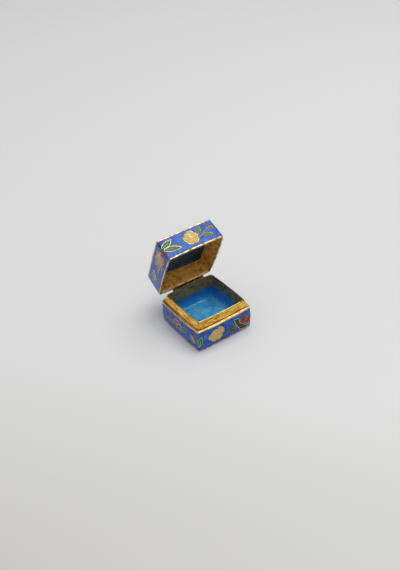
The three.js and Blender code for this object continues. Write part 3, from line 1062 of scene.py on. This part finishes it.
@dataclass
class LidShell:
    """Upper half: gilt copper cap with two lips, enamel on its sides and top, dark glaze under its top."""

    finishes: Finishes
    size: BoxSizes = BOX
    mouth_ease: tuple[float, float] = (0.75, 0.28)  # height and depth of the slope at the bore's mouth

    @property
    def ceiling(self) -> float:
        """Underside of the copper top, up from the rim."""
        return self.size.lid_height - self.size.plate_enamel - self.size.copper

    def wall(self, z: float, inset: float = 0.0) -> Section:
        """Plan of the wall inside, drawn in by inset."""
        rise = min(max((z - self.size.lid_bore_depth) / (self.ceiling - self.size.lid_bore_depth), 0.0), 1.0)
        return BORE.towards(CEILING, rise, z).inset(inset, z)

    def cap(self) -> None:
        """The copper cap."""
        size = self.size
        plate = LID_SHELL.section(size.lid_height, size.plate_border)
        high, deep = self.mouth_ease
        bottom = lip_profile(LID_SHELL, 0.0, size.lip, size.enamel_depth)
        top = lip_profile(LID_SHELL, size.lid_height - size.lip, size.lid_height, size.enamel_depth)
        shape = Loft("lid_cap", self.wall(self.ceiling)).through(
            [self.wall(z) for z in (8.6, 7.0, 5.6, size.lid_bore_depth, 2.2, high)]
            + [self.wall(0.08, -deep), self.wall(0.02, -deep - 0.06), self.wall(0.0, -deep - 0.18)]
            + bottom[1:] + top[:-1] + [plate, plate.at(size.lid_height - size.plate_enamel)]
        ).close()
        dress(shape, [self.finishes.gilt, self.finishes.lid_brass],
              lambda middle: int(max(abs(middle.x), abs(middle.y)) < BORE.half + BORE.bow + 0.03
                                 and high < middle.z < self.ceiling + 0.1))
        set_down(shape, Half.LID, "gilt_copper", ["lid_body"])

    def ground(self) -> None:
        """The blue enamel round the sides."""
        ground_band("lid_ground", LID_SHELL, self.finishes.ground, Half.LID, "lid_side_enamel")

    def top_plate(self) -> None:
        """The blue enamel let into the top."""
        size = self.size
        edge = LID_SHELL.section(size.lid_height, size.plate_border + size.gap)
        rings = [edge.shrunk(half, size.lid_height - TOP_SINK) for half in (13.4, 10.0, 6.5, 3.0)]
        shape = Loft("lid_top_ground", edge.at(size.lid_height - size.plate_enamel + size.gap)).through(
            [edge.at(size.lid_height - TOP_SINK - 0.03)] + rings).close()
        dress(shape, [self.finishes.ground])
        set_down(shape, Half.LID, "cobalt_enamel", ["lid_top_enamel"])

    def glaze(self) -> None:
        """The dark glaze under the top, running out to a feather edge down the walls."""
        size = self.size
        ceiling = self.ceiling - size.ceiling_enamel
        skirt = self.wall(ceiling - size.ceiling_fillet, size.gap)
        curve = pooled_corner(skirt, size.ceiling_fillet, ceiling)
        rings = [curve[-1].shrunk(half, ceiling + 0.02) for half in (8.0, 4.0)]
        shape = Loft("lid_glaze", self.wall(self.ceiling - size.gap, size.gap)).through(
            [skirt] + curve + rings).close()
        dress(shape, [self.finishes.ceiling])
        mark_rise(shape)
        set_down(shape, Half.LID, "dark_teal_enamel", ["lid_inner_enamel"])

    def build(self) -> None:
        """Builds the whole upper half."""
        self.cap()
        self.ground()
        self.top_plate()
        self.glaze()


# ---------------------------------------------------------------- hinge


@dataclass
class Hinge:
    """Five knuckles on a pin behind the rims, three on the base's leaf and two on the lid's."""

    finishes: Finishes
    size: BoxSizes = BOX
    ease: float = 0.07  # knuckle ends filed round
    peen: float = 0.14  # ends of the pin hammered round

    @property
    def pitch(self) -> float:
        """Length that each knuckle takes with its gap."""
        return (self.size.hinge_end - self.size.hinge_start) / self.size.knuckles

    def knuckle(self, start: float, end: float, side: int, axis: Vector) -> bpy.types.Object:
        """One rolled knuckle and the web that runs from it to its leaf.

        Args:
            start: its left end.
            end: its right end.
            side: -1 below the axis, 1 above it.
            axis: a point of the hinge's axis.

        Returns:
            The mesh.
        """
        size = self.size
        middle = Vector(((start + end) / 2, axis.y, axis.z))
        clear_selection()
        bpy.ops.mesh.primitive_cylinder_add(vertices=28, radius=size.knuckle_radius, depth=end - start,
                                            location=middle, rotation=(0.0, math.pi / 2, 0.0))
        roll = bpy.context.object
        apply_place()
        bpy.ops.object.mode_set(mode="EDIT")
        bpy.ops.mesh.select_all(action="DESELECT")
        mesh = bmesh.from_edit_mesh(roll.data)
        for face in mesh.faces:
            face.select_set(len(face.verts) > 4)
        bpy.ops.mesh.inset(thickness=size.knuckle_radius - size.knuckle_bore)
        bpy.ops.mesh.bridge_edge_loops()
        bpy.ops.object.mode_set(mode="OBJECT")
        face_y = size.half + size.gap
        clear_selection()
        bpy.ops.mesh.primitive_cube_add(size=1.0)
        web = bpy.context.object
        web.scale = (end - start, size.hinge_y - face_y - size.knuckle_bore - 0.05,
                     size.leaf_reach - size.leaf_relief)
        web.location = (middle.x, face_y + web.scale.y / 2,
                        axis.z + side * (size.leaf_reach + size.leaf_relief) / 2)
        apply_place()
        return joined("knuckle", [roll, web])

    def leaf(self, name: str, side: int, half: Half, node: str) -> None:
        """One leaf with its knuckles."""
        size = self.size
        height = size.hinge_z if half is Half.BASE else size.hinge_z - size.base_height - size.rim_gap
        axis = Vector((0.0, size.hinge_y, height))
        clear_selection()
        bpy.ops.mesh.primitive_cube_add(size=1.0)
        strip = bpy.context.object
        strip.scale = (size.hinge_end - size.hinge_start, size.leaf_thickness,
                       size.leaf_reach - size.leaf_relief)
        strip.location = ((size.hinge_end + size.hinge_start) / 2,
                          size.half + size.gap + size.leaf_thickness / 2,
                          axis.z + side * (size.leaf_reach + size.leaf_relief) / 2)
        apply_place()
        parts = [strip]
        for index in range(size.knuckles):
            if (index % 2 == 0) == (half is Half.BASE):
                start = size.hinge_start + index * self.pitch + size.knuckle_gap / 2
                parts.append(self.knuckle(start, start + self.pitch - size.knuckle_gap, side, axis))
        shape = joined(name, parts)
        bevel = round_edges(shape, self.ease, 2)
        bevel.limit_method = "ANGLE"
        bevel.angle_limit = math.radians(50)
        bpy.ops.object.modifier_apply(modifier=bevel.name)
        dress(shape, [self.finishes.hinge])
        set_down(shape, half, "hinge_brass", [node], by_hand=False)

    def pin(self) -> None:
        """The pin, its two ends peened round."""
        size = self.size
        length = size.hinge_end - size.hinge_start + 2 * size.pin_overhang
        clear_selection()
        bpy.ops.mesh.primitive_cylinder_add(
            vertices=20, radius=size.pin_radius, depth=length, rotation=(0.0, math.pi / 2, 0.0),
            location=((size.hinge_end + size.hinge_start) / 2, size.hinge_y, size.hinge_z))
        shape = bpy.context.object
        shape.name = "hinge_rod"
        apply_place()
        bevel = round_edges(shape, self.peen, 3)
        bpy.ops.object.modifier_apply(modifier=bevel.name)
        dress(shape, [self.finishes.hinge])
        set_down(shape, Half.BASE, "hinge_brass", ["hinge_pin"], by_hand=False)

    def build(self) -> None:
        """Builds both leaves and the pin."""
        self.leaf("hinge_lower_leaf", -1, Half.BASE, "hinge_base_leaf")
        self.leaf("hinge_upper_leaf", 1, Half.LID, "hinge_lid_leaf")
        self.pin()


# ---------------------------------------------------------------- cloisonné ornament


WIRE_RADIUS = 0.15  # half the width of a cloison
WIRE_SINK = 0.08  # how far its middle lies under the enamel's face
WIRE_STEP = 0.35  # a wire bends at least this often, so that it follows the corners
CELL_STEP = 1.2  # a cell's glass is cut at least this often for the same reason
CORNER_CUTS = [(side + 0.5) * SIDE_LENGTH + step * WIRE_STEP
               for side in (-2, -1, 0, 1) for step in range(-4, 5)]
CELL_RIM = 0.32  # the glass slopes up from its wires over this distance
CELL_LIFT = 0.02
INLAY_LIFT = 1.5  # inlays lie this many times as high
CELL_FULL = 0.03  # the glass stands this much fuller in the middle of a cell
INLAY_SHAPE = ((0.16, 0.0), (0.44, 0.5), (0.78, 0.3), (0.84, 0.0), (0.78, -0.3), (0.44, -0.5))  # out, turned
INLAYS = (Enamel.STRAW, Enamel.OCHRE, Enamel.RED)  # fired last, over the cells round them
GOLD_BLOOM = (Enamel.GOLDEN, Enamel.STRAW, Enamel.STRAW)
ROSE_BLOOM = (Enamel.RUST, Enamel.RED, Enamel.OCHRE)


def smooth_curve(points: Sequence[Point], closed: bool, steps: int = 6) -> Outline:
    """Rounded curve through points.

    Args:
        points: what it passes through.
        closed: whether it comes back to its start.
        steps: points for each stretch.

    Returns:
        The points of the curve.
    """
    count = len(points)
    curve: Outline = []
    for index in range(count if closed else count - 1):
        around = [points[(index + k) % count] if closed else points[min(max(index + k, 0), count - 1)]
                  for k in (-1, 0, 1, 2)]
        for step in range(steps):
            t = step / steps
            weights = (-0.5 * t + t * t - 0.5 * t ** 3, 1 - 2.5 * t * t + 1.5 * t ** 3,
                       0.5 * t + 2 * t * t - 1.5 * t ** 3, -0.5 * t * t + 0.5 * t ** 3)
            curve.append(tuple(sum(w * p[axis] for w, p in zip(weights, around)) for axis in (0, 1)))
    if not closed:
        curve.append(points[-1])
    return curve


@dataclass
class Ornament:
    """Wires and coloured cells drawn flat in millimetres, then laid on one face of the box."""

    name: str
    half: Half
    surface: Callable[[float, float, float], Vector]
    finishes: Finishes
    wires: list[tuple[Outline, bool]] = field(default_factory=list)
    cells: list[tuple[Enamel, Outline]] = field(default_factory=list)

    def cell(self, enamel: Enamel, outline: Outline) -> None:
        """A walled cell of one colour."""
        self.wires.append((outline, True))
        self.cells.append((enamel, outline))

    def petal(self, enamel: Enamel, points: Sequence[Point]) -> None:
        """A rounded cell through a few points."""
        self.cell(enamel, smooth_curve(points, closed=True))

    def stem(self, *points: Point) -> None:
        """A single wire."""
        self.wires.append((smooth_curve(points, closed=False), False))

    def leaf(self, enamel: Enamel, foot: Point, tip: Point, width: float, bend: float = 0.0,
             rib: float = 0.65) -> None:
        """A pointed leaf.

        Args:
            enamel: its colour.
            foot: where it leaves the stem.
            tip: its point.
            width: across its middle.
            bend: how far its middle lies to the left of the line from foot to tip.
            rib: share of its length that the middle wire runs.
        """
        start, end = Vector(foot), Vector(tip)
        axis = end - start
        side = Vector((-axis.y, axis.x)).normalized()

        def spot(t: float, sign: float) -> Point:
            spread = width / 2 * math.sin(math.pi * t ** 0.9) ** 0.85 if 0 < t < 1 else 0.0
            return tuple(start + axis * t + side * (bend * math.sin(math.pi * t) + sign * spread))

        steps = 12
        outline = [spot(k / steps, 1) for k in range(steps)] + [spot(1 - k / steps, -1) for k in range(steps)]
        self.cell(enamel, outline)
        if rib:
            self.wires.append(([spot(rib * k / 6, 0) for k in range(7)], False))

    def blossom(self, colours: tuple[Enamel, Enamel, Enamel], centre: Point, petals: Sequence[Point],
                core: float = 0.7, notch: float = 0.7) -> None:
        """An open flower: petals round a heart, each with a paler cell let into it.

        Args:
            colours: of the petals, of the cells in them and of the heart.
            centre: its middle.
            petals: the bearing in degrees and the length of each petal, going round against the clock.
            core: radius of the heart.
            notch: how far out two petals part, as a share of their length.
        """
        petal, inlay, heart = colours
        count = len(petals)
        lobe = 10

        def spot(reach: float, bearing: float) -> Point:
            return centre[0] + reach * math.cos(bearing), centre[1] + reach * math.sin(bearing)

        for index, (bearing, reach) in enumerate(petals):
            middle = math.radians(bearing)
            before, after = petals[index - 1], petals[(index + 1) % count]
            spread = {-1: -math.radians((bearing - before[0]) % 360) / 2,
                      1: math.radians((after[0] - bearing) % 360) / 2}
            edge = []
            for step in range(lobe + 1):
                share = 2 * step / lobe - 1
                sign = 1 if share > 0 else -1
                low = notch * (reach + (after if sign > 0 else before)[1]) / 2
                out = low + (reach - low) * max(1 - abs(share) ** 3, 0.0) ** 0.6
                edge.append(spot(out, middle + abs(share) * spread[sign]))
            foot = [spot(core, middle + abs(turn) * spread[1 if turn > 0 else -1])
                    for turn in (1.0, 0.5, 0.0, -0.5, -1.0)]
            self.cells.append((petal, edge + foot))
            self.wires.append((edge, False))
            self.wires.append(([foot[0], edge[-1]], False))
            inner = [spot(core + (reach - core) * out, middle + abs(turn) * spread[1 if turn > 0 else -1])
                     for out, turn in INLAY_SHAPE]
            self.cells.append((inlay, smooth_curve(inner, closed=True, steps=3)))
        self.cell(heart, [spot(core, k / 12 * 2 * math.pi) for k in range(12)])

    def lay_wires(self) -> None:
        """Turns the drawn lines into gilt wires sunk in the enamel."""
        line = bent_rod(f"{self.name}_cloisons", WIRE_RADIUS, 2)
        for points, closed in self.wires:
            ring = points + points[:1] if closed else points
            dense: Outline = []
            for (x0, y0), (x1, y1) in zip(ring, ring[1:]):
                cuts = max(1, math.ceil(math.hypot(x1 - x0, y1 - y0) / WIRE_STEP))
                dense += [(x0 + (x1 - x0) * k / cuts, y0 + (y1 - y0) * k / cuts) for k in range(cuts)]
            if not closed:
                dense.append(ring[-1])
            add_run(line, [self.surface(along, up, -WIRE_SINK) for along, up in dense], closed)
        shape = rod_mesh(line)
        dress(shape, [self.finishes.wire])
        set_down(shape, self.half, "gilt_copper")

    def fill_cell(self, outline: Outline) -> bpy.types.Object:
        """One cell's glass, still flat: its rim low and its middle full, cut so that it can bend."""
        clear_selection()
        bpy.ops.mesh.primitive_circle_add(vertices=len(outline), fill_type="NGON", enter_editmode=True)
        shape = bpy.context.object
        mesh = bmesh.from_edit_mesh(shape.data)
        mesh.verts.layers.float.new("fill")
        mesh.verts.ensure_lookup_table()
        for vertex, (along, up) in zip(mesh.verts, outline):
            vertex.co = (along, up, 0.0)
        bpy.ops.mesh.inset(thickness=CELL_RIM)
        mesh = bmesh.from_edit_mesh(shape.data)
        fill = mesh.verts.layers.float["fill"]
        for vertex in mesh.verts:
            vertex[fill] = 1.0 if vertex.select else 0.0
        bmesh.update_edit_mesh(shape.data)
        bpy.ops.mesh.select_all(action="SELECT")
        bpy.ops.mesh.quads_convert_to_tris(ngon_method="BEAUTY")
        for axis in (0, 1):
            low = min(point[axis] for point in outline)
            high = max(point[axis] for point in outline)
            first, last = math.ceil(low / CELL_STEP), math.floor(high / CELL_STEP)
            cuts = [index * CELL_STEP for index in range(first, last + 1)]
            if axis == 0:
                cuts += [cut for cut in CORNER_CUTS if low < cut < high]
            for cut in cuts:
                place = [0.0, 0.0, 0.0]
                place[axis] = cut
                bpy.ops.mesh.select_all(action="SELECT")
                bpy.ops.mesh.bisect(plane_co=place, plane_no=(float(axis == 0), float(axis == 1), 0.0))
        bpy.ops.object.mode_set(mode="OBJECT")
        return shape

    def fill_cells(self) -> None:
        """Lays the glass of every cell, one piece for each colour."""
        for enamel in Enamel:
            outlines = [outline for colour, outline in self.cells if colour is enamel]
            if not outlines:
                continue
            shape = joined(f"{self.name}_{enamel.name.lower()}",
                           [self.fill_cell(outline) for outline in outlines])
            level = CELL_LIFT * (INLAY_LIFT if enamel in INLAYS else 1.0)
            fill = shape.data.attributes["fill"].data
            for vertex, full in zip(shape.data.vertices, fill):
                vertex.co = self.surface(vertex.co.x, vertex.co.y, level + CELL_FULL * full.value)
            dress(shape, [self.finishes.cells[enamel]])
            set_down(shape, self.half, enamel.slot)

    def build(self) -> None:
        """Lays the wires and the glass."""
        self.lay_wires()
        self.fill_cells()


def spray(panel: Ornament, along: float, up: float, flip: int = 1) -> None:
    """A plain spray for the sides turned away: a flower with two leaves on one side and a bud on the other.

    Args:
        panel: where it goes.
        along: place of the flower's middle along the side.
        up: its height.
        flip: -1 mirrors it.
    """
    def at(x: float, y: float) -> Point:
        return along + flip * x, up + y

    panel.blossom(GOLD_BLOOM, at(0, 0), ((20, 3.2), (88, 3.3), (162, 3.0), (234, 3.3), (306, 3.1)))
    panel.leaf(Enamel.LEAF, at(3.6, 0.2), at(8.6, 2.6), 2.4, bend=0.3 * flip)
    panel.leaf(Enamel.SAGE, at(3.6, -0.6), at(9.0, -2.4), 2.3, bend=-0.3 * flip)
    panel.stem(at(-3.4, -0.4), at(-5.4, 0.4), at(-7.6, 0.2))
    panel.petal(Enamel.RED, [at(-7.6, 0.2), at(-8.4, 2.0), at(-10.4, 2.2), at(-10.6, 0.4), at(-9.2, -0.8)])
    panel.leaf(Enamel.DARK_LEAF, at(-5.2, -0.2), at(-9.4, -3.0), 1.9, bend=0.2 * flip)


def base_ornament(finishes: Finishes) -> Ornament:
    """The flowers round the base: a yellow flower and a red bud in front, leaves round the left corner."""
    panel = Ornament("base_spray", Half.BASE, BASE_SHELL.face, finishes)
    panel.blossom(GOLD_BLOOM, (-5.7, 6.0), ((30, 4.8), (118, 3.4), (183, 4.1), (240, 3.6), (309, 3.8)),
                  core=0.6, notch=0.64)
    panel.leaf(Enamel.DARK_LEAF, (6.5, 5.4), (0.5, 3.4), 3.2, bend=-0.2, rib=0.85)
    panel.petal(Enamel.DARK_LEAF, [(4.8, 9.4), (5.5, 7.4), (6.4, 5.2), (7.7, 3.1), (9.3, 1.3), (13.0, 1.1),
                                   (13.4, 2.2), (11.5, 3.1), (10.3, 4.4), (8.9, 5.1), (8.1, 6.7), (7.6, 8.8),
                                   (6.2, 9.3)])
    panel.petal(Enamel.RED, [(8.6, 6.0), (9.3, 7.8), (11.2, 9.2), (12.2, 7.4), (11.2, 5.8), (10.0, 4.9)])
    panel.petal(Enamel.RED, [(11.5, 5.2), (12.7, 7.0), (14.4, 6.0), (14.6, 3.8), (13.0, 3.3), (11.9, 4.2)])
    panel.petal(Enamel.RED, [(15.4, 6.6), (16.6, 8.4), (18.4, 7.8), (18.2, 5.2), (16.0, 4.6)])
    panel.leaf(Enamel.LEAF, (-15.2, 3.0), (-13.9, 9.0), 2.3, bend=-0.2)
    panel.leaf(Enamel.DARK_LEAF, (-15.6, 7.0), (-18.6, 8.9), 1.9)
    panel.leaf(Enamel.ROSE, (-18.2, 3.8), (-20.6, 7.6), 1.8)
    panel.leaf(Enamel.SAGE, (-28.6, 5.0), (-23.2, 8.2), 2.8, bend=0.3)
    panel.blossom(ROSE_BLOOM, (-31.6, 6.6), ((10, 2.8), (80, 2.6), (150, 3.2), (215, 2.8), (290, 2.5)),
                  core=0.5)
    panel.leaf(Enamel.OLIVE, (-34.8, 6.8), (-40.2, 5.6), 2.8, bend=0.3)
    spray(panel, 32.0, 6.0)
    spray(panel, 61.2, 6.0, flip=-1)
    return panel


def lid_ornament(finishes: Finishes) -> Ornament:
    """The flowers round the lid: a yellow flower between leaves in front, a red and tan bloom on the left."""
    panel = Ornament("lid_spray", Half.LID, LID_SHELL.face, finishes)
    panel.blossom(GOLD_BLOOM, (0.4, 6.0),
                  ((12, 3.6), (62, 3.9), (114, 3.5), (172, 3.9), (232, 3.8), (296, 4.0)), notch=0.8)
    panel.leaf(Enamel.SAGE, (4.3, 5.8), (7.8, 9.8), 2.2, bend=0.2)
    panel.stem((3.8, 4.6), (6.0, 5.2), (9.0, 6.6), (12.2, 8.1))
    panel.leaf(Enamel.SAGE, (6.4, 5.1), (11.3, 3.4), 1.8, bend=0.15)
    panel.leaf(Enamel.OLIVE, (10.6, 6.9), (14.2, 7.4), 1.5)
    panel.leaf(Enamel.LEAF, (-15.3, 6.9), (-8.8, 9.3), 2.8, bend=-0.2)
    panel.leaf(Enamel.SAGE, (-15.0, 5.6), (-6.6, 3.3), 2.8, bend=0.2)
    panel.petal(Enamel.RED, [(-15.2, 5.5), (-15.2, 4.1), (-16.6, 3.4), (-17.8, 4.4), (-17.4, 5.7),
                             (-16.2, 6.1)])
    panel.leaf(Enamel.RUST, (-17.6, 6.2), (-20.6, 9.4), 1.3, bend=-0.2, rib=0.6)
    panel.leaf(Enamel.ROSE, (-18.6, 6.6), (-25.0, 9.2), 1.5, bend=-0.2, rib=0.6)
    panel.leaf(Enamel.ROSE, (-19.4, 6.2), (-28.6, 7.4), 1.9, bend=-0.6, rib=0.6)
    panel.leaf(Enamel.ROSE, (-19.4, 5.3), (-31.6, 4.3), 2.0, bend=-0.5, rib=0.6)
    panel.leaf(Enamel.ROSE, (-20.4, 4.2), (-27.0, 2.6), 1.4, bend=-0.2, rib=0.6)
    panel.leaf(Enamel.RUST, (-18.4, 4.0), (-22.4, 2.6), 1.2, bend=-0.1, rib=0.6)
    # painted highlight: a pale teal cell where the lid's enamel catches the light
    panel.petal(Enamel.PAINTED_HIGHLIGHT_TEAL, [(-34.2, 7.4), (-34.9, 8.4), (-35.8, 7.7), (-35.2, 6.7)])
    panel.leaf(Enamel.OLIVE, (-36.2, 7.2), (-40.0, 8.6), 1.8)
    panel.leaf(Enamel.ROSE, (-35.4, 5.8), (-40.8, 6.2), 1.5)
    panel.leaf(Enamel.SAGE, (-36.0, 4.6), (-40.0, 3.4), 1.6)
    spray(panel, 31.0, 5.8)
    spray(panel, 61.2, 5.8, flip=-1)
    return panel


def lid_top_ornament(finishes: Finishes) -> Ornament:
    """The top of the lid: one flower among leaves."""
    def surface(x: float, y: float, lift: float) -> Vector:
        return Vector((x, y, BOX.lid_height - TOP_SINK + lift))

    panel = Ornament("lid_top_spray", Half.LID, surface, finishes)
    panel.blossom(GOLD_BLOOM, (0.0, 0.5), ((18, 4.4), (90, 4.6), (162, 4.3), (234, 4.5), (306, 4.3)),
                  core=0.9)
    panel.leaf(Enamel.LEAF, (4.4, -1.6), (10.6, -4.6), 3.2, bend=0.4)
    panel.leaf(Enamel.SAGE, (4.6, 2.4), (10.2, 6.0), 2.9, bend=-0.3)
    panel.leaf(Enamel.LEAF, (-4.6, 2.2), (-10.8, 5.4), 3.2, bend=0.4)
    panel.leaf(Enamel.DARK_LEAF, (-4.2, -2.4), (-9.8, -6.6), 2.9, bend=-0.3)
    panel.petal(Enamel.RED, [(-1.8, -6.6), (-3.0, -9.2), (-0.6, -10.6), (1.8, -9.2), (1.0, -6.8)])
    panel.stem((-0.2, -6.6), (0.2, -4.9))
    panel.petal(Enamel.RED, [(-1.6, 7.2), (-2.6, 9.4), (-0.2, 10.8), (2.2, 9.4), (1.2, 7.2)])
    panel.stem((-0.2, 7.2), (0.0, 5.2))
    return panel


# ---------------------------------------------------------------- studio


@dataclass(frozen=True)
class Studio:
    """Pale floor, soft light and the camera."""

    aim: tuple[float, float, float] = (-0.19, 3.49, 21.18)
    heading: float = 33.05  # degrees from straight back, towards the right
    elevation: float = 37.05
    distance: float = 331.97
    roll: float = -3.94
    lens: float = 44.05
    sensor: float = 36.0

    def floor(self) -> None:
        """A wide white table top, greyed towards its near left by painted shade."""
        clear_selection()
        bpy.ops.mesh.primitive_plane_add(size=6.0, enter_editmode=True)
        bpy.ops.mesh.subdivide(number_cuts=7)
        bpy.ops.object.mode_set(mode="OBJECT")
        floor = bpy.context.object
        floor.name = "table_top"
        material = bpy.data.materials.new("white_table")
        material.use_nodes = True
        tree = material.node_tree
        spot = add_node(tree, "ShaderNodeTexCoord").outputs["Object"]
        turned = add_node(tree, "ShaderNodeMapping", {"Rotation": (0.0, 0.0, math.radians(self.heading))},
                          {"Vector": spot})
        axes = add_node(tree, "ShaderNodeSeparateXYZ", links={"Vector": turned.outputs["Vector"]})
        # painted shade: the top greys towards the camera and to the left
        near = add_node(tree, "ShaderNodeMapRange", {"interpolation_type": "SMOOTHSTEP", "From Min": -0.15,
                                                     "From Max": 0.01}, {"Value": axes.outputs["Y"]})
        across = add_node(tree, "ShaderNodeMapRange", {"From Min": -0.1, "From Max": 0.1, "To Max": 0.5},
                          {"Value": axes.outputs["X"]})
        tone = add_node(tree, "ShaderNodeMath", {"operation": "ADD", "use_clamp": True},
                        {0: near.outputs["Result"], 1: across.outputs["Result"]})
        tint = set_ramp(add_node(tree, "ShaderNodeValToRGB", links={"Fac": tone.outputs["Value"]}),
                        [(0.0, "#cccbc7"), (1.0, "#e2e2e2")])
        shader = tree.nodes["Principled BSDF"]
        shader.inputs["Roughness"].default_value = 0.55
        tree.links.new(tint.outputs["Color"], shader.inputs["Base Color"])
        dress(floor, [material])

    def camera(self) -> None:
        """The camera, at the angle that the box is shown from."""
        heading, elevation = math.radians(self.heading), math.radians(self.elevation)
        forward = Vector((math.sin(heading) * math.cos(elevation), math.cos(heading) * math.cos(elevation),
                          -math.sin(elevation)))
        bpy.ops.object.camera_add(location=(Vector(self.aim) - forward * self.distance) * MM)
        camera = bpy.context.object
        camera.rotation_mode = "QUATERNION"
        tilt = Quaternion((0.0, 0.0, 1.0), math.radians(self.roll))
        camera.rotation_quaternion = forward.to_track_quat("-Z", "Y") @ tilt
        camera.data.lens = self.lens
        camera.data.sensor_width = self.sensor
        camera.data.clip_start = 0.01
        bpy.context.scene.camera = camera

    def softbox(self, name: str, place: Sequence[float], size: float, power: float) -> None:
        """A square area light that faces the box.

        Args:
            name: its name.
            place: where it stands, in metres.
            size: its side in metres.
            power: in watts.
        """
        bpy.ops.object.light_add(type="AREA", location=place)
        lamp = bpy.context.object
        lamp.name = name
        lamp.data.shape = "SQUARE"
        lamp.data.size = size
        lamp.data.energy = power
        lamp.rotation_mode = "QUATERNION"
        lamp.rotation_quaternion = (-Vector(place)).to_track_quat("-Z", "Y")

    def surroundings(self) -> None:
        """A light room: brighter overhead than at the height of the table."""
        world = bpy.data.worlds.new("light_room")
        bpy.context.scene.world = world
        world.use_nodes = True
        tree = world.node_tree
        spot = add_node(tree, "ShaderNodeTexCoord").outputs["Generated"]
        axes = add_node(tree, "ShaderNodeSeparateXYZ", links={"Vector": spot})
        tint = set_ramp(add_node(tree, "ShaderNodeValToRGB", links={"Fac": axes.outputs["Z"]}),
                        [(0.0, "#b8b8b8"), (0.3, "#d4d4d4"), (1.0, "#ffffff")])
        background = tree.nodes["Background"]
        background.inputs["Strength"].default_value = 0.64
        tree.links.new(tint.outputs["Color"], background.inputs["Color"])

    def build(self) -> None:
        """Sets up the whole studio."""
        self.floor()
        self.camera()
        self.surroundings()
        self.softbox("overhead_softbox", (0.3, -0.05, 1.2), 0.95, 7.5)
        self.softbox("ceiling_lamp", (0.2, -0.02, 1.3), 0.05, 0.5)
        bpy.context.scene.view_settings.view_transform = "Standard"


def main() -> None:
    """Builds the box, piece by piece, and its studio."""
    noise.seed_set(HAND_SEED)
    logging.basicConfig(level=logging.INFO, format="%(message)s")
    Studio().build()
    finishes = make_finishes()
    BaseShell(finishes).build()
    Collar(finishes).build()
    LidShell(finishes).build()
    Hinge(finishes).build()
    for panel in (base_ornament(finishes), lid_ornament(finishes), lid_top_ornament(finishes)):
        panel.build()


if __name__ == "__main__":
    main()
